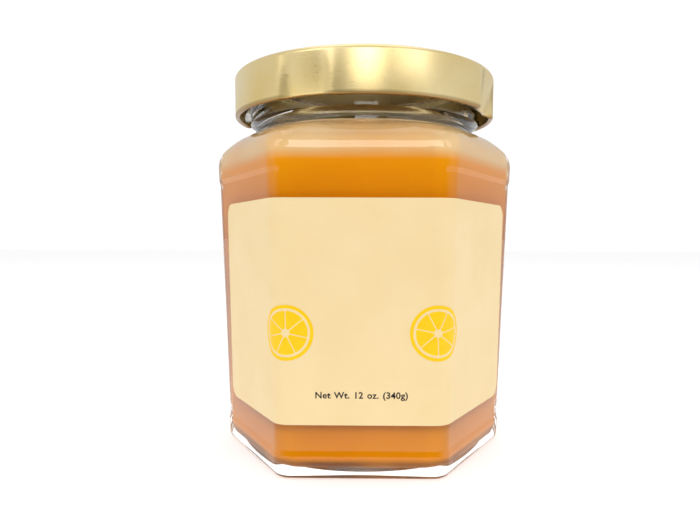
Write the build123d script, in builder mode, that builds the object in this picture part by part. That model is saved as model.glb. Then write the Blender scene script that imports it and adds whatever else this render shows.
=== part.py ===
"""A hexagonal glass jar of creamed honey with a twist-off metal lid and a wrapped paper label.

Sizes are in millimetres. The jar stands on z = 0 with its axis on +Z, and the middle face of the
label looks along -Y. The six corners of the body point along +X, -X and every 60 degrees between.
"""

import os
from math import cos, pi, radians, tan

from build123d import *

# ---- Glass body: a drafted hexagon with rounded corners ---------------------------------------
SIDES = 6
BASE_FLATS = 63.5  # across the flats of the label panel, carried down to z = 0
DRAFT = 1.5  # degrees that each face leans outwards
CORNER_RADIUS = 4.35  # outside radius of the upright corners
PANEL_RECESS = 0.25  # how far the label panel lies behind the heel and the ridge
EASE_HEIGHT = 1.2  # height of the slopes that lead into the label panel
HEEL_HEIGHT = 5.5
HEEL_ROUND = 1.8  # radius where the heel turns under
PANEL_HEIGHT = 63.5
RIDGE_HEIGHT = 3.4  # proud band between the label panel and the shoulder

# ---- Shoulder: the hexagon turns into the round neck ------------------------------------------
SHOULDER_HEIGHT = 7.9
SHOULDER_POWER = 2.5  # how late the shoulder turns in: 1 is a straight cone
SHOULDER_STEPS = 6
ROUND_RESIDUE = 0.25  # how far from fully round the corners of the last section stay
NECK_LAP = 0.15  # how far the last section lies inside the round neck or bore that passes through it

# ---- Neck and its finish for a 63 mm twist-off lid --------------------------------------------
NECK_HEIGHT = 13.6  # from the shoulder's top to the sealing rim
FINISH_RADIUS = 29.4
FINISH_WALL = 3.4  # glass between the bore and the finish
NECK_STEP = 1.4  # how far the narrowest part of the neck lies behind the finish
FLARE_HEIGHT = 2.3  # concave flare between the neck and the finish
RIM_ROUND = 0.9
THREAD_COUNT = 4
THREAD_DEPTH = 1.4  # how far a thread stands out of the finish
THREAD_THICKNESS = 1.4
THREAD_SWEEP = 44.0  # degrees of one thread
THREAD_RISE = 1.8
THREAD_OVER_LUG = 0.5  # clear height between a lid lug and the thread above it
THREAD_ROOT = 0.6  # how deep each thread is rooted in the finish

# ---- Inside of the glass ----------------------------------------------------------------------
WALL = 2.6
FLOOR = 3.2
INNER_CORNER_RADIUS = 5.4
INNER_FLOOR_ROUND = 3.0
SHOULDER_WALL = 2.4  # upright thickness of the glass at the shoulder's top
BORE_START = 1.0  # how far below the inner shoulder's top the bore's wall starts
PUSH_UP_RADIUS = 23.0
PUSH_UP_DEPTH = 1.2
PUSH_UP_SLOPE = 50.0  # degrees of lean of the recess's side

# ---- Filling ----------------------------------------------------------------------------------
HEADSPACE = 14.3  # from the sealing rim down to the froth
FROTH_DEPTH = 1.7
FILL_GAP = 0.05  # clearance between the filling and the glass, and under the froth

# ---- Lid --------------------------------------------------------------------------------------
LID_SHEET = 0.5
LID_ROUND = 1.4  # outside radius between the skirt and the top
LID_HEIGHT = 10.5
LID_THREAD_GAP = 1.9  # clearance between the threads and the skirt
LID_SEAT_GAP = 0.1  # clearance between the lid's channel and the glass rim
LID_BORE_GAP = 1.2  # clearance between the lid's sunken middle and the bore
LID_PANEL_DROP = 0.5
LID_PANEL_SLOPE = 0.6  # width of the step around the sunken middle
CURL_RADIUS = 0.85  # rolled lower edge
LUG_COUNT = THREAD_COUNT
LUG_WIDTH = 9.0
LUG_GAP = 1.05  # clearance between a lug and the finish
LUG_THICKNESS = 0.8
LUG_ANGLE = -120.0  # degrees about +Z of the first lug

# ---- Paper label ------------------------------------------------------------------------------
LABEL_WIDTH = 101.6  # laid flat
LABEL_HEIGHT = 49.7
LABEL_LIFT = 0.25  # how far the label's centre line lies above the middle of the panel
LABEL_SHIFT = 1.15  # how far the label's centre lies towards +X, along the wrap
LABEL_CORNER = 3.2
LABEL_SHEET = 0.12
LABEL_GAP = 0.03  # clearance between the paper and the glass

# ---- Radii and heights that follow ------------------------------------------------------------
NECK_RADIUS = FINISH_RADIUS - NECK_STEP
BORE_RADIUS = FINISH_RADIUS - FINISH_WALL
THREAD_RADIUS = FINISH_RADIUS + THREAD_DEPTH
LID_RADIUS = THREAD_RADIUS + LID_THREAD_GAP + LID_SHEET
LID_PANEL_RADIUS = BORE_RADIUS - LID_BORE_GAP
CURL_CENTRE_RADIUS = LID_RADIUS - CURL_RADIUS
LUG_REACH = CURL_CENTRE_RADIUS - FINISH_RADIUS - LUG_GAP
PANEL_TOP = HEEL_HEIGHT + PANEL_HEIGHT
SHOULDER_BASE = PANEL_TOP + RIDGE_HEIGHT
NECK_BASE = SHOULDER_BASE + SHOULDER_HEIGHT
RIM = NECK_BASE + NECK_HEIGHT
FROTH_TOP = RIM - HEADSPACE
HONEY_TOP = FROTH_TOP - FROTH_DEPTH
INNER_SHOULDER_TOP = NECK_BASE - SHOULDER_WALL
LID_TOP = RIM + LID_SEAT_GAP + LID_SHEET
CURL_HEIGHT = LID_TOP - LID_HEIGHT + CURL_RADIUS
LUG_TOP = CURL_HEIGHT + LUG_THICKNESS / 2
LABEL_MIDDLE = HEEL_HEIGHT + PANEL_HEIGHT / 2 + LABEL_LIFT

FACE_STEP = 360 / SIDES
FACE_HALF = radians(FACE_STEP / 2)


def panel_apothem(height):
    """Distance from the axis to the label panel at a height."""
    return BASE_FLATS / 2 + height * tan(radians(DRAFT))


def proud_apothem(height):
    """Distance from the axis to the heel and ridge faces at a height."""
    return panel_apothem(height) + PANEL_RECESS


def hexagon(height, apothem, corner):
    """A rounded hexagon across the axis, with corners along +X and -X."""
    with BuildSketch(Plane.XY.offset(height)) as section:
        RegularPolygon(apothem, SIDES, major_radius=False)
        fillet(section.vertices(), corner)
    return section.sketch


def blend(start, end, share):
    """A value that lies a share of the way from start to end."""
    return start + (end - start) * share


def shoulder_sections(low, high, wide_apothem, wide_corner, neck_radius):
    """Sections of a dome that turns from a rounded hexagon at low into a round neck at high."""
    round_radius = neck_radius - NECK_LAP
    sections = []
    for step in range(SHOULDER_STEPS + 1):
        climb = step / SHOULDER_STEPS
        inset = climb**SHOULDER_POWER
        apothem = blend(wide_apothem, round_radius, inset)
        corner = blend(wide_corner, round_radius - ROUND_RESIDUE, inset)
        sections.append(hexagon(blend(low, high, climb), apothem, corner))
    return sections


def inside_shape(gap):
    """Adds the whole inside of the jar, from the floor to the rim, kept a gap clear of the glass."""
    low = FLOOR + gap
    wide_top = SHOULDER_BASE - gap
    corner = INNER_CORNER_RADIUS - gap
    loft([hexagon(z, panel_apothem(z) - WALL - gap, corner) for z in (low, wide_top)], ruled=True)
    fillet(faces().sort_by(Axis.Z)[0].edges(), INNER_FLOOR_ROUND)
    dome_top = INNER_SHOULDER_TOP - gap
    bore = BORE_RADIUS - gap
    loft(shoulder_sections(wide_top, dome_top, panel_apothem(wide_top) - WALL - gap, corner, bore))
    with BuildSketch(Plane.XY.offset(RIM)) as mouth:
        Circle(bore)
    extrude(mouth.sketch, amount=-(RIM - dome_top + BORE_START))


# ---- Inside of the glass, as a solid to take away ---------------------------------------------
with BuildPart() as cavity:
    inside_shape(0)

# ---- Jar --------------------------------------------------------------------------------------
with BuildPart() as jar:
    body_steps = (
        (0, proud_apothem),
        (HEEL_HEIGHT, proud_apothem),
        (HEEL_HEIGHT + EASE_HEIGHT, panel_apothem),
        (PANEL_TOP - EASE_HEIGHT, panel_apothem),
        (PANEL_TOP, proud_apothem),
        (SHOULDER_BASE, proud_apothem),
    )
    loft([hexagon(z, apothem(z), CORNER_RADIUS) for z, apothem in body_steps], ruled=True)
    fillet(faces().sort_by(Axis.Z)[0].edges(), HEEL_ROUND)
    loft(
        shoulder_sections(
            SHOULDER_BASE, NECK_BASE, proud_apothem(SHOULDER_BASE), CORNER_RADIUS, NECK_RADIUS
        )
    )

    # The neck flares from its root to the finish, and the rim is rounded outside.
    finish_base = NECK_BASE + FLARE_HEIGHT
    with BuildSketch(Plane.XZ):
        with BuildLine():
            Polyline((0, INNER_SHOULDER_TOP), (NECK_RADIUS, INNER_SHOULDER_TOP), (NECK_RADIUS, NECK_BASE))
            RadiusArc((NECK_RADIUS, NECK_BASE), (FINISH_RADIUS, finish_base), FLARE_HEIGHT)
            Line((FINISH_RADIUS, finish_base), (FINISH_RADIUS, RIM - RIM_ROUND))
            RadiusArc((FINISH_RADIUS, RIM - RIM_ROUND), (FINISH_RADIUS - RIM_ROUND, RIM), -RIM_ROUND)
            Polyline((FINISH_RADIUS - RIM_ROUND, RIM), (0, RIM), (0, INNER_SHOULDER_TOP))
        make_face()
    revolve(axis=Axis.Z)

    # Each thread climbs round the finish above one lug of the lid.
    thread_base = LUG_TOP + THREAD_OVER_LUG + THREAD_THICKNESS / 2
    for index in range(THREAD_COUNT):
        start = LUG_ANGLE + index * 360 / THREAD_COUNT - THREAD_SWEEP / 4
        outward = Vector(1, 0, 0).rotate(Axis.Z, start)
        onward = Vector(0, 1, 0).rotate(Axis.Z, start)
        with BuildLine(Plane((0, 0, thread_base), x_dir=outward)) as thread_path:
            Helix(THREAD_RISE * 360 / THREAD_SWEEP, THREAD_RISE, FINISH_RADIUS)
        with BuildSketch(Plane(outward * FINISH_RADIUS + Vector(0, 0, thread_base), outward, onward)):
            with Locations(((THREAD_DEPTH - THREAD_ROOT) / 2, 0)):
                Rectangle(THREAD_DEPTH + THREAD_ROOT, THREAD_THICKNESS)
        sweep(path=thread_path.line, is_frenet=True)

    add(cavity.part, mode=Mode.SUBTRACT)

    # The underside is hollowed, so that the jar stands on a rim.
    with BuildSketch(Plane.XY):
        Circle(PUSH_UP_RADIUS)
    extrude(amount=PUSH_UP_DEPTH, taper=PUSH_UP_SLOPE, mode=Mode.SUBTRACT)

# ---- Honey and the froth on it ----------------------------------------------------------------
with BuildPart() as honey:
    inside_shape(FILL_GAP)
    split(bisect_by=Plane.XY.offset(HONEY_TOP), keep=Keep.BOTTOM)

with BuildPart() as froth:
    inside_shape(FILL_GAP)
    split(bisect_by=Plane.XY.offset(FROTH_TOP), keep=Keep.BOTTOM)
    split(bisect_by=Plane.XY.offset(HONEY_TOP + FILL_GAP), keep=Keep.TOP)

# ---- Lid: a pressed sheet cap with a rolled edge and lugs -------------------------------------
with BuildPart() as lid:
    inner_radius = LID_RADIUS - LID_SHEET
    inner_round = LID_ROUND - LID_SHEET
    skirt_top = LID_TOP - LID_ROUND
    step_radius = LID_PANEL_RADIUS - LID_PANEL_SLOPE
    with BuildSketch(Plane.XZ):
        with BuildLine():
            Line((LID_RADIUS, CURL_HEIGHT), (LID_RADIUS, skirt_top))
            RadiusArc((LID_RADIUS, skirt_top), (LID_RADIUS - LID_ROUND, LID_TOP), -LID_ROUND)
            Polyline(
                (LID_RADIUS - LID_ROUND, LID_TOP),
                (LID_PANEL_RADIUS, LID_TOP),
                (step_radius, LID_TOP - LID_PANEL_DROP),
                (0, LID_TOP - LID_PANEL_DROP),
                (0, LID_TOP - LID_PANEL_DROP - LID_SHEET),
                (step_radius, LID_TOP - LID_PANEL_DROP - LID_SHEET),
                (LID_PANEL_RADIUS, LID_TOP - LID_SHEET),
                (inner_radius - inner_round, LID_TOP - LID_SHEET),
            )
            channel_edge = (inner_radius - inner_round, LID_TOP - LID_SHEET)
            RadiusArc(channel_edge, (inner_radius, skirt_top), inner_round)
            Polyline((inner_radius, skirt_top), (inner_radius, CURL_HEIGHT), (LID_RADIUS, CURL_HEIGHT))
        make_face()
        with Locations((CURL_CENTRE_RADIUS, CURL_HEIGHT)):
            Circle(CURL_RADIUS)
    revolve(axis=Axis.Z)
    with BuildSketch(Plane.XY.offset(LUG_TOP - LUG_THICKNESS)):
        with PolarLocations(CURL_CENTRE_RADIUS - LUG_REACH / 2, LUG_COUNT, start_angle=LUG_ANGLE):
            Rectangle(LUG_REACH, LUG_WIDTH)
    extrude(amount=LUG_THICKNESS)

# ---- Paper label over three faces -------------------------------------------------------------
label_low = LABEL_MIDDLE - LABEL_HEIGHT / 2
label_high = LABEL_MIDDLE + LABEL_HEIGHT / 2
middle_apothem = panel_apothem(LABEL_MIDDLE)
face_reach = middle_apothem * tan(FACE_HALF)  # from a face's centre line to the sharp corner
corner_cut = CORNER_RADIUS * tan(FACE_HALF)  # from the sharp corner to where the flat starts
wrapped_before_side = face_reach - corner_cut + CORNER_RADIUS * pi / 3

with BuildPart() as label_outline:
    with BuildSketch(Plane(origin=(0, 0, LABEL_MIDDLE), x_dir=(1, 0, 0), z_dir=(0, -1, 0))):
        Rectangle(2 * face_reach, LABEL_HEIGHT)
    extrude(amount=BASE_FLATS)
    for side in (-1, 1):
        side_run = LABEL_WIDTH / 2 + side * LABEL_SHIFT - wrapped_before_side + corner_cut
        tangent = Vector(1, 0, 0).rotate(Axis.Z, side * FACE_STEP)
        outward = Vector(0, -1, 0).rotate(Axis.Z, side * FACE_STEP)
        with BuildSketch(Plane(origin=(0, 0, LABEL_MIDDLE), x_dir=tangent, z_dir=outward)) as outline:
            with Locations((side * (side_run / 2 - face_reach), 0)):
                Rectangle(side_run, LABEL_HEIGHT)
            ends = outline.vertices().group_by(Axis((0, 0, 0), tangent))[-1 if side > 0 else 0]
            fillet(ends, LABEL_CORNER)
        extrude(amount=BASE_FLATS)

with BuildPart() as label:
    ends = (label_low, label_high)
    over = LABEL_GAP + LABEL_SHEET
    loft([hexagon(z, panel_apothem(z) + over, CORNER_RADIUS + over) for z in ends], ruled=True)
    loft(
        [hexagon(z, panel_apothem(z) + LABEL_GAP, CORNER_RADIUS + LABEL_GAP) for z in ends],
        ruled=True,
        mode=Mode.SUBTRACT,
    )
    add(label_outline.part, mode=Mode.INTERSECT)

# ---- Files ------------------------------------------------------------------------------------
os.makedirs("parts", exist_ok=True)
pieces = {"jar": jar, "honey": honey, "froth": froth, "lid": lid, "label": label}
for name, piece in pieces.items():
    piece.part.label = name
    export_step(piece.part, f"parts/{name}.step")
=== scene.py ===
"""Looks of a hexagonal jar of creamed honey: glass, honey, froth, gold lid and printed label."""

import logging
from dataclasses import dataclass, field
from enum import Enum
from math import atan2, cos, hypot, pi, radians, sin, tan

import bpy
from mathutils import Euler, Matrix, Vector


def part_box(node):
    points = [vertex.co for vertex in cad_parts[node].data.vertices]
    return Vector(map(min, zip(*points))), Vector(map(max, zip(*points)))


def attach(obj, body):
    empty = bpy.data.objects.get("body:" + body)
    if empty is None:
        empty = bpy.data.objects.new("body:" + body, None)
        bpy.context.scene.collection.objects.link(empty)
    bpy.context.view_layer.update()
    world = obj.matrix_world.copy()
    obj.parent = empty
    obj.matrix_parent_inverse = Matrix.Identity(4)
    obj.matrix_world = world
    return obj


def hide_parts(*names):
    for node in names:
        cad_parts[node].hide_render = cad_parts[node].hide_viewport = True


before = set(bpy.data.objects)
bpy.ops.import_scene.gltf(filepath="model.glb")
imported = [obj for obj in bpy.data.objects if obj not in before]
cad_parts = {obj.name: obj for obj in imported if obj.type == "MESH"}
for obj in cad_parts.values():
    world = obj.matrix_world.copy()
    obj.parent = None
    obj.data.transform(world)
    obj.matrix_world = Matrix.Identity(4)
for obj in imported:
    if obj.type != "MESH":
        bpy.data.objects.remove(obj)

LOG = logging.getLogger("honey_jar")
MM = 0.001
BODY = "root"
HEX_HALF = radians(30)
HEX_TURN = radians(60)
LATHE_WELD = 0.002 * MM
COPY_WELD = 0.001 * MM
FILLING_SMOOTH = 40

Colour = tuple[float, float, float, float]
Point = tuple[float, float]
Spot = tuple[float, float, float]


class Slot(Enum):
    """The record's material slots."""

    GLASS = "clear_glass"
    HONEY = "creamed_honey"
    FROTH = "honey_froth"
    LID = "gold_lid"
    PAPER = "label_paper"


class Pick(Enum):
    """What an edit works on."""

    VERTICES = "VERT"
    FACES = "FACE"


# ---- Modelling helpers ------------------------------------------------------------------------


def make_active(piece: bpy.types.Object) -> None:
    """Selects one object alone and makes it active.

    Args:
        piece: The object to work on.
    """
    bpy.ops.object.select_all(action="DESELECT")
    piece.hide_viewport = False
    piece.select_set(True)
    bpy.context.view_layer.objects.active = piece


def open_edit(piece: bpy.types.Object, pick: Pick, everything: bool = True) -> None:
    """Opens a piece in edit mode.

    Args:
        piece: The object to edit.
        pick: The kind of element that selections take.
        everything: Whether all of the mesh starts selected.
    """
    make_active(piece)
    bpy.ops.object.mode_set(mode="EDIT")
    bpy.ops.mesh.select_mode(type=pick.value)
    bpy.ops.mesh.select_all(action="SELECT" if everything else "DESELECT")


def close_edit() -> None:
    """Returns to object mode."""
    bpy.ops.object.mode_set(mode="OBJECT")


def settle(piece: bpy.types.Object, name: str) -> bpy.types.Object:
    """Names a piece and puts its place, turn and size into its mesh.

    Args:
        piece: The object to settle.
        name: The piece's name.

    Returns:
        The same object, at the origin.
    """
    make_active(piece)
    bpy.ops.object.transform_apply(location=True, rotation=True, scale=True)
    piece.name = name
    piece.data.name = name
    return piece


def clean_shell(piece: bpy.types.Object, distance: float) -> None:
    """Merges doubled points and turns all faces outwards.

    Args:
        piece: The object to clean.
        distance: Points nearer than this become one, in metres.
    """
    open_edit(piece, Pick.VERTICES)
    bpy.ops.mesh.remove_doubles(threshold=distance)
    bpy.ops.mesh.normals_make_consistent(inside=False)
    close_edit()


def smooth(piece: bpy.types.Object, angle: float) -> None:
    """Shades a piece smooth up to an angle.

    Args:
        piece: The piece to shade.
        angle: Edges sharper than this stay crisp, in degrees.
    """
    make_active(piece)
    bpy.ops.object.shade_smooth_by_angle(angle=radians(angle))


def thicken(piece: bpy.types.Object, thickness: float) -> None:
    """Gives a sheet its thickness, which grows outwards from the jar.

    Args:
        piece: The sheet.
        thickness: The wall in metres.
    """
    make_active(piece)
    wall = piece.modifiers.new("sheet", "SOLIDIFY")
    wall.thickness = thickness
    wall.offset = 1
    wall.use_even_offset = True
    bpy.ops.object.modifier_apply(modifier=wall.name)


def cut_along(piece: bpy.types.Object, axis: Vector, distances: list[float]) -> None:
    """Cuts a mesh by planes across an axis, without parting it.

    Args:
        piece: The mesh to cut.
        axis: The planes' normal.
        distances: How far each plane is from the origin, in metres.
    """
    for distance in distances:
        open_edit(piece, Pick.VERTICES)
        bpy.ops.mesh.bisect(plane_co=axis * distance, plane_no=axis)
        close_edit()


def lathe(profile: list[Point], steps: int, name: str) -> bpy.types.Object:
    """Turns an outline of (radius, height) points in metres about +Z.

    Args:
        profile: The outline, in order.
        steps: How many faces go round.
        name: The new piece's name.

    Returns:
        The turned piece.
    """
    radius, height = profile[0]
    bpy.ops.object.select_all(action="DESELECT")
    bpy.ops.mesh.primitive_plane_add(size=MM, location=(radius, 0, height))
    piece = bpy.context.active_object
    settle(piece, name)
    open_edit(piece, Pick.VERTICES)
    bpy.ops.mesh.merge(type="CENTER")
    for start, end in zip(profile, profile[1:]):
        step = (end[0] - start[0], 0, end[1] - start[1])
        bpy.ops.mesh.extrude_region_move(TRANSFORM_OT_translate={"value": step})
    bpy.ops.mesh.select_all(action="SELECT")
    bpy.ops.mesh.spin(steps=steps, angle=2 * pi, center=(0, 0, 0), axis=(0, 0, 1))
    close_edit()
    clean_shell(piece, LATHE_WELD)
    return piece


def arc_points(centre: Point, radius: float, start: float, end: float, steps: int) -> list[Point]:
    """Points along an arc in the plane of an outline.

    Args:
        centre: The arc's centre, in metres.
        radius: Its radius.
        start: First angle in degrees from the outward direction.
        end: Last angle in degrees.
        steps: How many chords the arc has.

    Returns:
        The points, both ends included.
    """
    points = []
    for step in range(steps + 1):
        angle = radians(start + (end - start) * step / steps)
        points.append((centre[0] + radius * cos(angle), centre[1] + radius * sin(angle)))
    return points


def grown_copy(node: str, name: str, growth: float) -> bpy.types.Object:
    """Copies a construction node, merges its triangles and grows it along its normals.

    Args:
        node: The node to copy.
        name: The new piece's name.
        growth: How far the surface moves outwards, in metres.

    Returns:
        The grown copy.
    """
    make_active(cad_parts[node])
    bpy.ops.object.duplicate()
    piece = bpy.context.active_object
    for key in [key for key in piece.keys() if key.startswith("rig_")]:
        del piece[key]
    piece.parent = None
    settle(piece, name)
    open_edit(piece, Pick.VERTICES)
    bpy.ops.mesh.customdata_custom_splitnormals_clear()
    bpy.ops.mesh.remove_doubles(threshold=COPY_WELD)
    bpy.ops.transform.shrink_fatten(value=growth)
    close_edit()
    smooth(piece, FILLING_SMOOTH)
    return piece


def fit_to_jar(piece: bpy.types.Object, slot: Slot, material: bpy.types.Material, *nodes: str) -> None:
    """Dresses a finished piece and ties it to the frame.

    Args:
        piece: The finished piece.
        slot: The record's slot for the piece. Not used.
        material: Its material.
        nodes: Construction nodes that it stands for.
    """
    piece.data.materials.clear()
    piece.data.materials.append(material)
    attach(piece, BODY)
    if nodes:
        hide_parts(*nodes)
    LOG.info("%s: %d faces", piece.name, len(piece.data.polygons))


# ---- Shader helpers ---------------------------------------------------------------------------


def mottle_group() -> bpy.types.NodeTree:
    """Builds, or finds, the shared cloudy mask that varies over a surface.

    Returns:
        A node group with Vector, Scale, Detail, Low and High in, and Mask out.
    """
    found = bpy.data.node_groups.get("mottle")
    if found:
        return found
    group = bpy.data.node_groups.new("mottle", "ShaderNodeTree")
    group.interface.new_socket("Vector", in_out="INPUT", socket_type="NodeSocketVector")
    for name, value in (("Scale", 100.0), ("Detail", 3.0), ("Low", 0.35), ("High", 0.65)):
        socket = group.interface.new_socket(name, in_out="INPUT", socket_type="NodeSocketFloat")
        socket.default_value = value
    group.interface.new_socket("Mask", in_out="OUTPUT", socket_type="NodeSocketFloat")
    entry = group.nodes.new("NodeGroupInput")
    leave = group.nodes.new("NodeGroupOutput")
    noise = group.nodes.new("ShaderNodeTexNoise")
    stretch = group.nodes.new("ShaderNodeMapRange")
    for name in ("Vector", "Scale", "Detail"):
        group.links.new(entry.outputs[name], noise.inputs[name])
    group.links.new(noise.outputs["Fac"], stretch.inputs["Value"])
    group.links.new(entry.outputs["Low"], stretch.inputs["From Min"])
    group.links.new(entry.outputs["High"], stretch.inputs["From Max"])
    group.links.new(stretch.outputs["Result"], leave.inputs["Mask"])
    return group


@dataclass(frozen=True)
class Mottle:
    """A cloudy pattern: patches per metre, octaves, and the noise values that give 0 and 1."""

    scale: float
    detail: float
    low: float
    high: float


@dataclass
class Shader:
    """A material under construction, with short ways to add its nodes."""

    name: str
    material: bpy.types.Material = field(init=False)
    surface: bpy.types.Node = field(init=False)

    def __post_init__(self) -> None:
        """Makes the material with its surface shader."""
        self.material = bpy.data.materials.new(self.name)
        self.material.use_nodes = True
        self.surface = self.material.node_tree.nodes["Principled BSDF"]

    def node(self, kind: str) -> bpy.types.Node:
        """Adds a node.

        Args:
            kind: The node's type name.

        Returns:
            The new node.
        """
        return self.material.node_tree.nodes.new(kind)

    def link(self, output: bpy.types.NodeSocket, target: bpy.types.NodeSocket) -> None:
        """Joins two sockets.

        Args:
            output: The socket that gives.
            target: The socket that takes.
        """
        self.material.node_tree.links.new(output, target)

    def set(self, **values: float | Colour) -> None:
        """Sets plain values on the surface shader's sockets.

        Args:
            values: Values by socket name, with underscores for spaces.
        """
        for name, value in values.items():
            self.surface.inputs[name.replace("_", " ")].default_value = value

    def place_vector(self, scale: Spot = (1, 1, 1)) -> bpy.types.NodeSocket:
        """Gives Object coordinates.

        Args:
            scale: How much they are stretched along each axis.

        Returns:
            The coordinates.
        """
        coordinates = self.node("ShaderNodeTexCoord")
        mapping = self.node("ShaderNodeMapping")
        mapping.inputs["Scale"].default_value = scale
        self.link(coordinates.outputs["Object"], mapping.inputs["Vector"])
        return mapping.outputs["Vector"]

    def mottle(self, vector: bpy.types.NodeSocket, pattern: Mottle) -> bpy.types.NodeSocket:
        """Adds the shared cloudy mask.

        Args:
            vector: Where the pattern is read.
            pattern: How its patches look.

        Returns:
            The mask.
        """
        group = self.node("ShaderNodeGroup")
        group.node_tree = mottle_group()
        self.link(vector, group.inputs["Vector"])
        group.inputs["Scale"].default_value = pattern.scale
        group.inputs["Detail"].default_value = pattern.detail
        group.inputs["Low"].default_value = pattern.low
        group.inputs["High"].default_value = pattern.high
        return group.outputs["Mask"]

    def ramp(self, factor: bpy.types.NodeSocket, *stops: tuple[float, Colour]) -> bpy.types.NodeSocket:
        """Turns a value into a colour.

        Args:
            factor: The value, 0 to 1.
            stops: Places and colours along the way, in order.

        Returns:
            The colour.
        """
        ramp = self.node("ShaderNodeValToRGB")
        elements = ramp.color_ramp.elements
        while len(elements) < len(stops):
            elements.new(0.5)
        for element, (position, colour) in zip(elements, stops):
            element.position = position
            element.color = colour
        self.link(factor, ramp.inputs["Fac"])
        return ramp.outputs["Color"]

    def mix(self, factor: bpy.types.NodeSocket, first: bpy.types.NodeSocket,
            second: bpy.types.NodeSocket | Colour) -> bpy.types.NodeSocket:
        """Mixes two colours by a mask.

        Args:
            factor: The mask: 0 shows the first colour, 1 the second.
            first: The first colour.
            second: The second colour, a socket or a plain colour.

        Returns:
            The mixed colour.
        """
        mixer = self.node("ShaderNodeMix")
        mixer.data_type = "RGBA"
        self.link(factor, mixer.inputs["Factor"])
        self.link(first, mixer.inputs["A"])
        if isinstance(second, tuple):
            mixer.inputs["B"].default_value = second
        else:
            self.link(second, mixer.inputs["B"])
        return mixer.outputs["Result"]

    def span(self, value: bpy.types.NodeSocket, low: float, high: float,
             to_low: float = 0.0, to_high: float = 1.0) -> bpy.types.NodeSocket:
        """Maps a value from one range to another, held at the ends.

        Args:
            value: The value to map.
            low: Where the range starts.
            high: Where it ends.
            to_low: What its start becomes.
            to_high: What its end becomes.

        Returns:
            The mapped value.
        """
        mapped = self.node("ShaderNodeMapRange")
        self.link(value, mapped.inputs["Value"])
        mapped.inputs["From Min"].default_value = low
        mapped.inputs["From Max"].default_value = high
        mapped.inputs["To Min"].default_value = to_low
        mapped.inputs["To Max"].default_value = to_high
        return mapped.outputs["Result"]

    def height(self) -> bpy.types.NodeSocket:
        """Gives the height above the base, in metres."""
        split = self.node("ShaderNodeSeparateXYZ")
        self.link(self.place_vector(), split.inputs["Vector"])
        return split.outputs["Z"]

    def bump(self, relief: bpy.types.NodeSocket, depth: float) -> None:
        """Raises the surface by a mask.

        Args:
            relief: The mask.
            depth: Its full depth in metres.
        """
        bump = self.node("ShaderNodeBump")
        bump.inputs["Strength"].default_value = 1.0
        bump.inputs["Distance"].default_value = depth
        self.link(relief, bump.inputs["Height"])
        self.link(bump.outputs["Normal"], self.surface.inputs["Normal"])


# ---- Finishes ---------------------------------------------------------------------------------


@dataclass(frozen=True)
class ClearGlass:
    """Colourless container glass with the faint waves of a pressed bottle."""

    tint: Colour = (0.965, 0.975, 0.965, 1)
    index: float = 1.5
    roughness: float = 0.015
    waves: Mottle = Mottle(45.0, 1.0, 0.2, 0.8)
    wave_stretch: Spot = (1, 1, 0.6)
    wave_depth: float = 0.05 * MM

    def build(self) -> bpy.types.Material:
        """Makes the glass, which lets direct light through to the honey."""
        shader = Shader("clear_glass")
        shader.set(Base_Color=self.tint, Roughness=self.roughness, IOR=self.index, Transmission_Weight=1.0)
        relief = shader.mottle(shader.place_vector(self.wave_stretch), self.waves)
        shader.bump(relief, self.wave_depth)
        path = shader.node("ShaderNodeLightPath")
        through = shader.node("ShaderNodeBsdfTransparent")
        through.inputs["Color"].default_value = self.tint
        either = shader.node("ShaderNodeMixShader")
        shader.link(path.outputs["Is Shadow Ray"], either.inputs["Fac"])
        shader.link(shader.surface.outputs["BSDF"], either.inputs[1])
        shader.link(through.outputs["BSDF"], either.inputs[2])
        leave = shader.material.node_tree.nodes["Material Output"]
        shader.link(either.outputs["Shader"], leave.inputs["Surface"])
        return shader.material


@dataclass(frozen=True)
class CreamedHoney:
    """Opaque amber honey: painted shade at its foot, deepest at mid height, and pale near the top, partly
    froth-pale honey and partly a painted reflection of the light from above.
    """

    deep: Colour = (0.62, 0.20, 0.002, 1)
    amber: Colour = (0.82, 0.27, 0.001, 1)
    bright: Colour = (0.92, 0.34, 0.002, 1)
    # pale near the top: partly froth-pale honey, partly a painted reflection of the light from above on the
    # shoulder
    pale: Colour = (0.86, 0.60, 0.30, 1)
    # painted shade: the dark foot stands in for the shadowed underside of the honey, seen through the base
    shade: Colour = (0.20, 0.055, 0.001, 1)
    painted_shade_top: float = 0.018
    amber_from: float = 0.034
    deepest_at: float = 0.5
    amber_to: float = 0.80
    bright_at: float = 0.905
    pale_at: float = 0.935
    clouds: Mottle = Mottle(38.0, 3.0, 0.42, 0.62)
    cloud_stretch: Spot = (1, 1, 0.5)
    cloud_strength: float = 0.35
    grain: Mottle = Mottle(900.0, 2.0, 0.3, 0.7)
    grain_depth: float = 0.02 * MM
    roughness: float = 0.42
    index: float = 1.1

    def build(self, low: float, high: float) -> bpy.types.Material:
        """Makes the honey.

        Args:
            low: Height of the honey's floor, in metres.
            high: Height of its top.

        Returns:
            The material.
        """
        shader = Shader("creamed_honey")
        climb = shader.span(shader.height(), low, high)
        tone = shader.ramp(
            climb,
            # painted shade at the foot
            (0.0, self.shade),
            (self.painted_shade_top, self.shade),
            (self.amber_from, self.amber),
            (self.deepest_at, self.deep),
            (self.amber_to, self.amber),
            (self.bright_at, self.bright),
            # painted reflection of the light from above, mixed with froth-pale honey
            (self.pale_at, self.pale),
        )
        clouds = shader.mottle(shader.place_vector(self.cloud_stretch), self.clouds)
        veined = shader.mix(shader.span(clouds, 0, 1, 0, self.cloud_strength), tone, self.bright)
        shader.link(veined, shader.surface.inputs["Base Color"])
        grain = shader.mottle(shader.place_vector(), self.grain)
        shader.bump(grain, self.grain_depth)
        shader.set(Roughness=self.roughness, IOR=self.index)
        return shader.material


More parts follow.
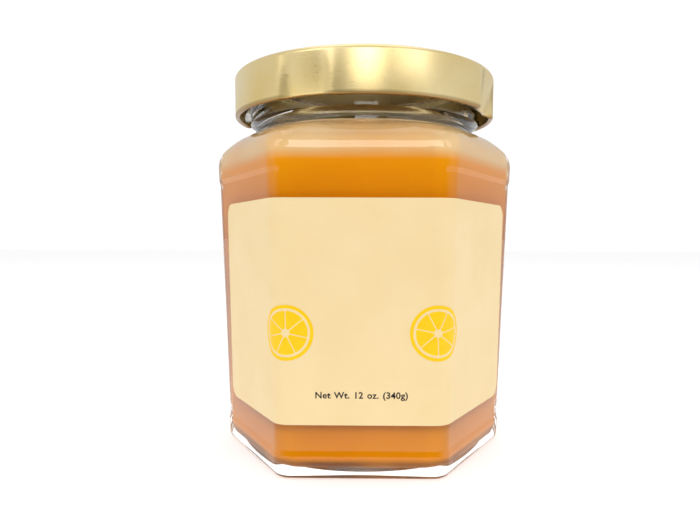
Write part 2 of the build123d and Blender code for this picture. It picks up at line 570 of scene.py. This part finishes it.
@dataclass(frozen=True)
class HoneyFroth:
    """Pale froth of fine bubbles with darker specks."""

    foam: Colour = (0.78, 0.55, 0.27, 1)
    light: Colour = (0.92, 0.74, 0.45, 1)
    speck: Colour = (0.33, 0.19, 0.07, 1)
    clouds: Mottle = Mottle(260.0, 3.0, 0.35, 0.65)
    bubbles_per_metre: float = 1500.0
    speck_core: float = 0.16
    speck_edge: float = 0.26
    speck_strength: float = 0.75
    bubble_depth: float = 0.12 * MM
    roughness: float = 0.6
    index: float = 1.2

    def build(self) -> bpy.types.Material:
        """Makes the froth."""
        shader = Shader("honey_froth")
        cloud = shader.mottle(shader.place_vector(), self.clouds)
        tone = shader.ramp(cloud, (0.0, self.foam), (1.0, self.light))
        bubbles = shader.node("ShaderNodeTexVoronoi")
        bubbles.inputs["Scale"].default_value = self.bubbles_per_metre
        shader.link(shader.place_vector(), bubbles.inputs["Vector"])
        spread = bubbles.outputs["Distance"]
        specks = shader.span(spread, self.speck_core, self.speck_edge, self.speck_strength, 0.0)
        shader.link(shader.mix(specks, tone, self.speck), shader.surface.inputs["Base Color"])
        shader.bump(spread, self.bubble_depth)
        shader.set(Roughness=self.roughness, IOR=self.index)
        return shader.material


@dataclass(frozen=True)
class SatinGold:
    """Gold lacquer over tinplate: a soft sheen, a fine rolled grain and painted shade on the underside of the
    rolled edge.
    """

    gold: Colour = (0.86, 0.66, 0.27, 1)
    worn: Colour = (0.93, 0.77, 0.42, 1)
    # painted shade: the colour that darkens the rolled edge's underside
    shadow: Colour = (0.22, 0.10, 0.012, 1)
    edge_shade_low: float = 0.25 * MM
    edge_shade_high: float = 1.1 * MM
    edge_shade_strength: float = 0.9
    clouds: Mottle = Mottle(60.0, 2.0, 0.35, 0.7)
    grain: Mottle = Mottle(700.0, 3.0, 0.3, 0.7)
    grain_stretch: Spot = (1, 1, 9)
    grain_depth: float = 0.003 * MM
    smoothest: float = 0.27
    roughest: float = 0.37
    coat: float = 0.25
    coat_roughness: float = 0.2

    def build(self, bottom: float) -> bpy.types.Material:
        """Makes the lacquered metal.

        Args:
            bottom: Height of the rolled edge's lowest point, in metres.

        Returns:
            The material.
        """
        shader = Shader("gold_lid")
        clouds = shader.mottle(shader.place_vector(), self.clouds)
        grain = shader.mottle(shader.place_vector(self.grain_stretch), self.grain)
        tone = shader.ramp(clouds, (0.0, self.gold), (1.0, self.worn))
        # painted shade: darker towards the rolled edge's lowest point, for the shade under the skirt
        start = bottom + self.edge_shade_low
        end = bottom + self.edge_shade_high
        fold = shader.span(shader.height(), start, end, self.edge_shade_strength, 0.0)
        shader.link(shader.mix(fold, tone, self.shadow), shader.surface.inputs["Base Color"])
        sheen = shader.span(grain, 0, 1, self.smoothest, self.roughest)
        shader.link(sheen, shader.surface.inputs["Roughness"])
        shader.bump(grain, self.grain_depth)
        shader.set(Metallic=1.0, Coat_Weight=self.coat, Coat_Roughness=self.coat_roughness)
        return shader.material


@dataclass(frozen=True)
class LabelPaper:
    """Smooth cream paper with faint fibres."""

    cream: Colour = (0.90, 0.69, 0.36, 1)
    warm: Colour = (0.93, 0.73, 0.41, 1)
    clouds: Mottle = Mottle(90.0, 4.0, 0.3, 0.7)
    fibres: Mottle = Mottle(2600.0, 4.0, 0.3, 0.7)
    fibre_stretch: Spot = (1, 1, 3)
    fibre_depth: float = 0.006 * MM
    smoothest: float = 0.42
    roughest: float = 0.55
    gloss: float = 0.35

    def build(self) -> bpy.types.Material:
        """Makes the paper."""
        shader = Shader("label_paper")
        clouds = shader.mottle(shader.place_vector(), self.clouds)
        fibres = shader.mottle(shader.place_vector(self.fibre_stretch), self.fibres)
        tone = shader.ramp(clouds, (0.0, self.cream), (1.0, self.warm))
        shader.link(tone, shader.surface.inputs["Base Color"])
        nap = shader.span(fibres, 0, 1, self.smoothest, self.roughest)
        shader.link(nap, shader.surface.inputs["Roughness"])
        shader.bump(fibres, self.fibre_depth)
        shader.set(Specular_IOR_Level=self.gloss)
        return shader.material


@dataclass(frozen=True)
class PrintInk:
    """Printed ink, laid a little unevenly."""

    name: str
    tone: Colour
    thin: Colour
    patches: Mottle = Mottle(700.0, 3.0, 0.35, 0.75)
    smoothest: float = 0.4
    roughest: float = 0.5
    gloss: float = 0.35

    def build(self) -> bpy.types.Material:
        """Makes the ink."""
        shader = Shader(self.name)
        patches = shader.mottle(shader.place_vector(), self.patches)
        layer = shader.ramp(patches, (0.0, self.tone), (1.0, self.thin))
        shader.link(layer, shader.surface.inputs["Base Color"])
        nap = shader.span(patches, 0, 1, self.smoothest, self.roughest)
        shader.link(nap, shader.surface.inputs["Roughness"])
        shader.set(Specular_IOR_Level=self.gloss)
        return shader.material


@dataclass(frozen=True)
class StudioSurface:
    """Pale matt floor, lit a little from within like a light table."""

    tone: Colour = (0.80, 0.80, 0.80, 1)
    light: Colour = (0.83, 0.83, 0.83, 1)
    clouds: Mottle = Mottle(40.0, 2.0, 0.3, 0.7)
    roughness: float = 0.8
    gloss: float = 0.2
    glow_colour: Colour = (1, 1, 1, 1)
    glow: float = 0.44

    def build(self) -> bpy.types.Material:
        """Makes the floor's paint."""
        shader = Shader("studio_floor")
        clouds = shader.mottle(shader.place_vector(), self.clouds)
        paint = shader.ramp(clouds, (0.0, self.tone), (1.0, self.light))
        shader.link(paint, shader.surface.inputs["Base Color"])
        shader.set(Roughness=self.roughness, Specular_IOR_Level=self.gloss)
        shader.set(Emission_Color=self.glow_colour, Emission_Strength=self.glow)
        return shader.material


@dataclass(frozen=True)
class BlackCard:
    """Matt black card that swallows light."""

    black: Colour = (0.01, 0.01, 0.01, 1)
    dull: Colour = (0.02, 0.02, 0.02, 1)
    weave: Mottle = Mottle(300.0, 2.0, 0.3, 0.7)
    roughness: float = 0.9
    gloss: float = 0.1

    def build(self) -> bpy.types.Material:
        """Makes the card's surface."""
        shader = Shader("dark_card")
        weave = shader.mottle(shader.place_vector(), self.weave)
        shade = shader.ramp(weave, (0.0, self.black), (1.0, self.dull))
        shader.link(shade, shader.surface.inputs["Base Color"])
        shader.set(Roughness=self.roughness, Specular_IOR_Level=self.gloss)
        return shader.material


# ---- Glass and filling ------------------------------------------------------------------------


@dataclass
class GlassJar:
    """The hexagonal jar, whose construction shape is shown as it is."""

    base_flats: float = 63.5 * MM
    draft: float = radians(1.5)
    corner: float = 4.35 * MM
    finish: ClearGlass = field(default_factory=ClearGlass)

    def apothem(self, height: float) -> float:
        """Works out how far a label panel is from the axis.

        Args:
            height: Height above the base, in metres.

        Returns:
            The distance in metres.
        """
        return self.base_flats / 2 + height * tan(self.draft)

    def dress(self) -> None:
        """Gives the glass its material."""
        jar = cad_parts["jar"]
        jar.data.materials.clear()
        jar.data.materials.append(self.finish.build())
        LOG.info("jar: %d faces", len(jar.data.polygons))


@dataclass
class Filling:
    """Creamed honey up to the neck and the froth on it, both wetting the glass."""

    honey_growth: float = 0.35 * MM
    floor_reach: float = 1.0 * MM
    floor_blend: float = 6.0 * MM
    froth_growth: float = 0.30 * MM
    honey_finish: CreamedHoney = field(default_factory=CreamedHoney)
    froth_finish: HoneyFroth = field(default_factory=HoneyFroth)

    def sink_floor(self, honey: bpy.types.Object, floor: float) -> None:
        """Lets the honey's floor reach into the base, so that less clear glass shows under it.

        Args:
            honey: The honey's piece.
            floor: Height of the construction honey's floor, in metres.
        """
        for point in honey.data.vertices:
            share = max(0.0, 1 - (point.co.z - floor) / self.floor_blend)
            point.co.z -= self.floor_reach * min(1.0, share)

    def build(self) -> None:
        """Makes both layers, each reaching just into the wall."""
        low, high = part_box("honey")
        honey = grown_copy("honey", "honey_fill", self.honey_growth)
        self.sink_floor(honey, low.z)
        bottom = low.z - self.honey_growth - self.floor_reach
        fit_to_jar(honey, Slot.HONEY, self.honey_finish.build(bottom, high.z), "honey")
        froth = grown_copy("froth", "froth_layer", self.froth_growth)
        fit_to_jar(froth, Slot.FROTH, self.froth_finish.build(), "froth")


# ---- Lid --------------------------------------------------------------------------------------


@dataclass
class TwistLid:
    """Pressed gold lid with a rolled lower edge and lugs pressed in from it."""

    sheet: float = 0.45 * MM
    edge_round: float = 1.2 * MM
    curl: float = 0.6 * MM
    panel_radius: float = 24.8 * MM
    panel_drop: float = 0.5 * MM
    step_width: float = 0.6 * MM
    step_lead: float = 1.0 * MM
    step_ease: float = 0.04 * MM
    step_crown: float = 0.5 * MM
    edge_steps: int = 8
    inner_edge_steps: int = 6
    curl_steps: int = 18
    curl_close: float = 2.2
    facets: int = 240
    lug_count: int = 4
    lug_angle: float = radians(-113)
    lug_half_width: float = radians(12)
    lug_press: float = 1.7 * MM
    lug_lift: float = 0.55 * MM
    lug_zone: float = 2.4 * MM
    lug_flat: float = 2.2
    lug_rise: float = 1.6
    smooth_angle: float = 50
    finish: SatinGold = field(default_factory=SatinGold)

    def outline(self, radius: float, bottom: float, top: float) -> list[Point]:
        """Works out the sheet's outline, from the top's middle round to the inside of the top.

        Args:
            radius: Outside radius, in metres.
            bottom: Height of the rolled edge's lowest point.
            top: Height of the lid's top.

        Returns:
            The closed outline's points.
        """
        inner = radius - self.sheet
        step = self.panel_radius - self.step_width
        sunk = top - self.panel_drop
        curl_centre = (radius - self.curl, bottom + self.curl)
        points = [(0.0, sunk), (step - self.step_lead, sunk), (step, sunk + self.step_ease)]
        points += [(self.panel_radius, top - self.step_ease), (self.panel_radius + self.step_crown, top)]
        centre = (radius - self.edge_round, top - self.edge_round)
        points += arc_points(centre, self.edge_round, 90, 0, self.edge_steps)
        points += arc_points(curl_centre, self.curl, 0, -270, self.curl_steps)
        points += [(inner, bottom + self.curl_close * self.curl)]
        points += arc_points(centre, self.edge_round - self.sheet, 0, 90, self.inner_edge_steps)
        points += [(self.panel_radius, top - self.sheet), (step, sunk - self.sheet), (0.0, sunk - self.sheet)]
        return points

    def press_lugs(self, piece: bpy.types.Object, bottom: float) -> None:
        """Presses the lugs in from the rolled edge, with a soft dent above each.

        Args:
            piece: The turned lid.
            bottom: Height of the rolled edge's lowest point.
        """
        pitch = 2 * pi / self.lug_count
        for point in piece.data.vertices:
            share = max(0.0, 1 - (point.co.z - bottom) / (self.lug_zone + 2 * self.curl))
            if share == 0:
                continue
            angle = atan2(point.co.y, point.co.x)
            off = (angle - self.lug_angle + pitch / 2) % pitch - pitch / 2
            side = min(1.0, self.lug_flat * max(0.0, 1 - abs(off) / self.lug_half_width))
            strength = side ** 2 * (3 - 2 * side) * min(1.0, self.lug_rise * share)
            radius = hypot(point.co.x, point.co.y)
            scale = (radius - self.lug_press * strength) / radius
            point.co.x *= scale
            point.co.y *= scale
            point.co.z += self.lug_lift * strength

    def build(self) -> None:
        """Makes the lid."""
        low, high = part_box("lid")
        profile = self.outline(high.x, low.z, high.z)
        lid = lathe(profile, self.facets, "gold_twist_lid")
        self.press_lugs(lid, low.z)
        smooth(lid, self.smooth_angle)
        fit_to_jar(lid, Slot.LID, self.finish.build(low.z), "lid")


# ---- Label ------------------------------------------------------------------------------------


@dataclass
class PaperLabel:
    """Cream label folded round three faces, with two fruit slices and the weight printed on it."""

    jar: GlassJar
    width: float = 101.6 * MM
    shift: float = 1.15 * MM
    sheet: float = 0.12 * MM
    corner: float = 3.2 * MM
    corner_steps: int = 10
    rows: int = 6
    fold_margin: float = 1.8 * MM
    fold_steps: int = 14
    smooth_angle: float = 30
    lift: float = 0.03 * MM
    print_lift: float = 0.155 * MM
    print_sheet: float = 0.012 * MM
    slice_reach: float = 16.6 * MM
    slice_height: float = 33.2 * MM
    rind_radius: float = 6.15 * MM
    rind_width: float = 0.75 * MM
    flesh_radius: float = 4.85 * MM
    membrane: float = 0.36 * MM
    hub: float = 0.55 * MM
    segments: int = 7
    segment_round: float = 0.45 * MM
    segment_round_steps: int = 5
    corner_reach: float = 0.01 * MM
    flesh_steps: int = 154
    rind_steps: int = 160
    slice_turns: tuple[float, float] = (13, 40)
    text: str = "Net Wt. 12 oz. (340g)"
    text_height: float = 18.75 * MM
    text_width: float = 20.3 * MM
    text_squash: float = 0.98
    letter_size: float = 2.0 * MM
    letter_spacing: float = 1.06
    word_spacing: float = 1.25
    letter_weight: float = 0.045 * MM
    letter_steps: int = 5
    paper: LabelPaper = field(default_factory=LabelPaper)
    yellow: PrintInk = PrintInk("lemon_ink", (1.0, 0.60, 0.0, 1), (1.0, 0.64, 0.0, 1))
    black: PrintInk = PrintInk("black_ink", (0.012, 0.008, 0.008, 1), (0.03, 0.02, 0.02, 1))

    def fold(self, along: float, height: float, lift: float) -> Vector:
        """Finds where a point of the flat label lies on the jar.

        Args:
            along: Distance along the wrap from the middle face's centre line, in metres.
            height: Height above the base.
            lift: Distance off the glass.

        Returns:
            The point in the jar's frame.
        """
        bend = self.jar.corner + lift
        inner = self.jar.apothem(height) + lift - bend
        half = inner * tan(HEX_HALF)
        side = 1 if along >= 0 else -1
        run = abs(along)
        if run <= half:
            return Vector((along, -inner - bend, height))
        turned = min((run - half) / bend, HEX_TURN)
        rest = max(0.0, run - half - bend * HEX_TURN)
        across = half + bend * sin(turned) + rest * cos(HEX_TURN)
        back = -inner - bend * cos(turned) + rest * sin(HEX_TURN)
        return Vector((side * across, back, height))

    def fold_piece(self, piece: bpy.types.Object, lift: float) -> None:
        """Folds a flat piece onto the jar.

        Args:
            piece: The piece, drawn with x along the wrap and y as height.
            lift: Distance off the glass, in metres.
        """
        for point in piece.data.vertices:
            point.co = self.fold(point.co.x, point.co.y, lift)

    def fold_lines(self) -> list[float]:
        """Finds where along the wrap a flat piece needs edges to bend at.

        Returns:
            Distances from the middle face's centre line, in metres.
        """
        start = self.jar.apothem(0) * tan(HEX_HALF) - self.jar.corner * tan(HEX_HALF)
        length = self.jar.corner * HEX_TURN + self.fold_margin
        runs = [start + length * step / self.fold_steps for step in range(self.fold_steps + 1)]
        return [side * run for run in runs for side in (-1, 1)]

    def build_sheet(self) -> None:
        """Makes the paper, with rounded ends."""
        low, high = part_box("label")
        bpy.ops.object.select_all(action="DESELECT")
        bpy.ops.mesh.primitive_plane_add(size=1, location=(self.shift, (low.z + high.z) / 2, 0))
        sheet = bpy.context.active_object
        sheet.scale = (self.width, high.z - low.z, 1)
        settle(sheet, "paper_label")
        open_edit(sheet, Pick.VERTICES)
        bpy.ops.mesh.bevel(offset=self.corner, segments=self.corner_steps, affect="VERTICES")
        close_edit()
        cut_along(sheet, Vector((1, 0, 0)), self.fold_lines())
        heights = [low.z + (high.z - low.z) * row / self.rows for row in range(1, self.rows)]
        cut_along(sheet, Vector((0, 1, 0)), heights)
        self.fold_piece(sheet, self.lift)
        thicken(sheet, self.sheet)
        smooth(sheet, self.smooth_angle)
        fit_to_jar(sheet, Slot.PAPER, self.paper.build(), "label")

    def draw_slice(self, name: str) -> bpy.types.Object:
        """Draws one flat fruit slice about the origin: a rind and its segments.

        Args:
            name: The slice's name.

        Returns:
            The flat slice.
        """
        half = pi / self.segments
        steps, radius = self.flesh_steps, self.flesh_radius
        bpy.ops.mesh.primitive_circle_add(vertices=steps, radius=radius, fill_type="NGON")
        flesh = bpy.context.active_object
        settle(flesh, name)
        for side in (-1, 1):
            open_edit(flesh, Pick.VERTICES)
            normal = Vector((-sin(half), side * cos(half), 0))
            bpy.ops.mesh.bisect(plane_co=normal * -self.membrane / 2, plane_no=normal,
                                use_fill=False, clear_outer=True)
            close_edit()
        open_edit(flesh, Pick.VERTICES)
        bpy.ops.mesh.bisect(plane_co=(self.hub + self.membrane, 0, 0), plane_no=(-1, 0, 0),
                            use_fill=False, clear_outer=True)
        close_edit()
        self.round_corners(flesh)
        open_edit(flesh, Pick.VERTICES)
        bpy.ops.mesh.spin(steps=self.segments - 1, dupli=True, center=(0, 0, 0), axis=(0, 0, 1),
                          angle=2 * pi * (self.segments - 1) / self.segments)
        close_edit()
        bpy.ops.mesh.primitive_circle_add(vertices=self.rind_steps, radius=self.rind_radius, fill_type="NGON")
        rind = bpy.context.active_object
        open_edit(rind, Pick.FACES)
        bpy.ops.mesh.inset(thickness=self.rind_width)
        bpy.ops.mesh.delete(type="FACE")
        close_edit()
        make_active(flesh)
        rind.select_set(True)
        bpy.ops.object.join()
        return flesh

    def round_corners(self, flesh: bpy.types.Object) -> None:
        """Rounds the outer corners of one segment.

        Args:
            flesh: The segment, alone in its mesh.
        """
        open_edit(flesh, Pick.VERTICES, everything=False)
        close_edit()
        reach = max(point.co.y for point in flesh.data.vertices)
        for point in flesh.data.vertices:
            point.select = abs(point.co.y) > reach - self.corner_reach
        make_active(flesh)
        bpy.ops.object.mode_set(mode="EDIT")
        bpy.ops.mesh.bevel(offset=self.segment_round, segments=self.segment_round_steps, affect="VERTICES")
        close_edit()

    def print_slices(self) -> None:
        """Prints a fruit slice at each corner of the middle face."""
        ink = self.yellow.build()
        names = ("slice_print_left", "slice_print_right")
        for side, name, turn in zip((-1, 1), names, self.slice_turns):
            flat = self.draw_slice(name)
            flat.rotation_euler = (0, 0, radians(turn))
            flat.location = (side * self.slice_reach, self.slice_height, 0)
            settle(flat, name)
            cut_along(flat, Vector((1, 0, 0)), self.fold_lines())
            self.fold_piece(flat, self.print_lift)
            thicken(flat, self.print_sheet)
            fit_to_jar(flat, Slot.PAPER, ink)

    def print_weight(self) -> None:
        """Prints the plain net weight under the slices."""
        bpy.ops.object.select_all(action="DESELECT")
        bpy.ops.object.text_add(location=(0, 0, 0))
        words = bpy.context.active_object
        words.data.body = self.text
        words.data.align_x = "CENTER"
        words.data.size = self.letter_size
        words.data.space_character = self.letter_spacing
        words.data.space_word = self.word_spacing
        words.data.offset = self.letter_weight
        words.data.resolution_u = self.letter_steps
        bpy.ops.object.convert(target="MESH")
        words = bpy.context.active_object
        stretch = self.text_width / words.dimensions.x
        words.scale = (stretch, stretch * self.text_squash, 1)
        words.location = (0, self.text_height, 0)
        settle(words, "weight_print")
        self.fold_piece(words, self.print_lift)
        thicken(words, self.print_sheet)
        fit_to_jar(words, Slot.PAPER, self.black.build())

    def build(self) -> None:
        """Makes the label and its print."""
        self.build_sheet()
        self.print_slices()
        self.print_weight()


# ---- Studio -----------------------------------------------------------------------------------


@dataclass(frozen=True)
class Softbox:
    """A square softbox: its name, where it hangs and its side in metres, and its power in watts."""

    name: str
    spot: Spot
    size: float
    power: float

    def hang(self, aim: Vector) -> None:
        """Hangs the softbox.

        Args:
            aim: The point that it looks at, in metres.
        """
        data = bpy.data.lights.new(self.name, "AREA")
        data.size = self.size
        data.energy = self.power
        light = bpy.data.objects.new(self.name, data)
        bpy.context.scene.collection.objects.link(light)
        light.location = self.spot
        light.rotation_euler = (aim - Vector(self.spot)).to_track_quat("-Z", "Y").to_euler()


@dataclass
class Studio:
    """Pale floor, a white surround that is dark in front, softboxes, a dark card and the camera."""

    distance: float = 164.9 * MM
    eye_height: float = 52.8 * MM
    turn: float = 0.0114
    pitch: float = 0.0768
    roll: float = 0.0035
    lens: float = 31.61
    sensor: float = 36.0
    nearest: float = 0.01
    shift_x: float = -0.0194
    shift_y: float = 0.0393
    floor_size: float = 8.0
    floor_cells: int = 8
    card_distance: float = 0.19
    card_width: float = 0.22
    card_height: float = 0.045
    surround: float = 0.70
    front: float = 0.04
    front_edge: float = -0.92
    front_fade: float = -0.45
    backdrop: float = 1.05
    aim_height: float = 0.045
    softboxes: tuple[Softbox, ...] = (
        Softbox("key_left", (-0.45, -0.55, 0.50), 0.40, 0.9),
        Softbox("key_right", (0.45, -0.55, 0.45), 0.40, 0.9),
        Softbox("front_top", (0.03, -0.62, 0.34), 0.26, 0.85),
        Softbox("overhead", (0.0, 0.1, 1.1), 0.9, 2.0),
    )

    def add_camera(self) -> None:
        """Puts the camera at the jar's front, a little above half height."""
        data = bpy.data.cameras.new("view")
        data.lens = self.lens
        data.sensor_width = self.sensor
        data.shift_x = self.shift_x
        data.shift_y = self.shift_y
        data.clip_start = self.nearest
        camera = bpy.data.objects.new("view", data)
        bpy.context.scene.collection.objects.link(camera)
        aim = Euler((pi / 2 - self.pitch, 0, 0)).to_matrix().to_4x4() @ Matrix.Rotation(self.roll, 4, "Z")
        stand = Matrix.Translation((0, -self.distance, self.eye_height)) @ aim
        camera.matrix_world = Matrix.Rotation(self.turn, 4, "Z") @ stand
        bpy.context.scene.camera = camera

    def add_floor(self) -> None:
        """Lays the floor."""
        bpy.ops.object.select_all(action="DESELECT")
        cells = self.floor_cells
        bpy.ops.mesh.primitive_grid_add(x_subdivisions=cells, y_subdivisions=cells, size=self.floor_size)
        floor = bpy.context.active_object
        settle(floor, "studio_floor")
        floor.data.materials.append(StudioSurface().build())

    def add_dark_card(self) -> None:
        """Stands a dark card before the jar, so that its front face mirrors no bright floor."""
        stand = (0, -self.card_distance, self.card_height / 2)
        bpy.ops.object.select_all(action="DESELECT")
        bpy.ops.mesh.primitive_plane_add(size=1, location=stand)
        card = bpy.context.active_object
        card.rotation_euler = (pi / 2, 0, 0)
        card.scale = (self.card_width, self.card_height, 1)
        settle(card, "dark_card")
        card.visible_camera = False
        card.visible_shadow = False
        card.data.materials.append(BlackCard().build())

    def add_surround(self) -> None:
        """Lights the jar from all round, with a darker stretch in front of it."""
        world = bpy.data.worlds.new("studio")
        bpy.context.scene.world = world
        world.use_nodes = True
        nodes, links = world.node_tree.nodes, world.node_tree.links
        background = nodes["Background"]
        direction = nodes.new("ShaderNodeTexCoord")
        split = nodes.new("ShaderNodeSeparateXYZ")
        links.new(direction.outputs["Generated"], split.inputs["Vector"])
        fade = nodes.new("ShaderNodeMapRange")
        fade.interpolation_type = "SMOOTHSTEP"
        links.new(split.outputs["Y"], fade.inputs["Value"])
        fade.inputs["From Min"].default_value = self.front_edge
        fade.inputs["From Max"].default_value = self.front_fade
        fade.inputs["To Min"].default_value = self.front
        fade.inputs["To Max"].default_value = self.surround
        path = nodes.new("ShaderNodeLightPath")
        seen = nodes.new("ShaderNodeMix")
        links.new(path.outputs["Is Camera Ray"], seen.inputs["Factor"])
        links.new(fade.outputs["Result"], seen.inputs["A"])
        seen.inputs["B"].default_value = self.backdrop
        links.new(seen.outputs["Result"], background.inputs["Strength"])
        background.inputs["Color"].default_value = (1, 1, 1, 1)

    def build(self) -> None:
        """Sets up camera, floor and light."""
        self.add_camera()
        self.add_floor()
        self.add_dark_card()
        self.add_surround()
        for softbox in self.softboxes:
            softbox.hang(Vector((0, 0, self.aim_height)))
        bpy.context.scene.view_settings.view_transform = "Standard"


def main() -> None:
    """Builds every piece around the frame and logs each piece's face count."""
    logging.basicConfig(level=logging.INFO, format="%(name)s %(message)s")
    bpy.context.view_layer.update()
    jar = GlassJar()
    jar.dress()
    Filling().build()
    TwistLid().build()
    PaperLabel(jar).build()
    Studio().build()


if __name__ == "__main__":
    main()
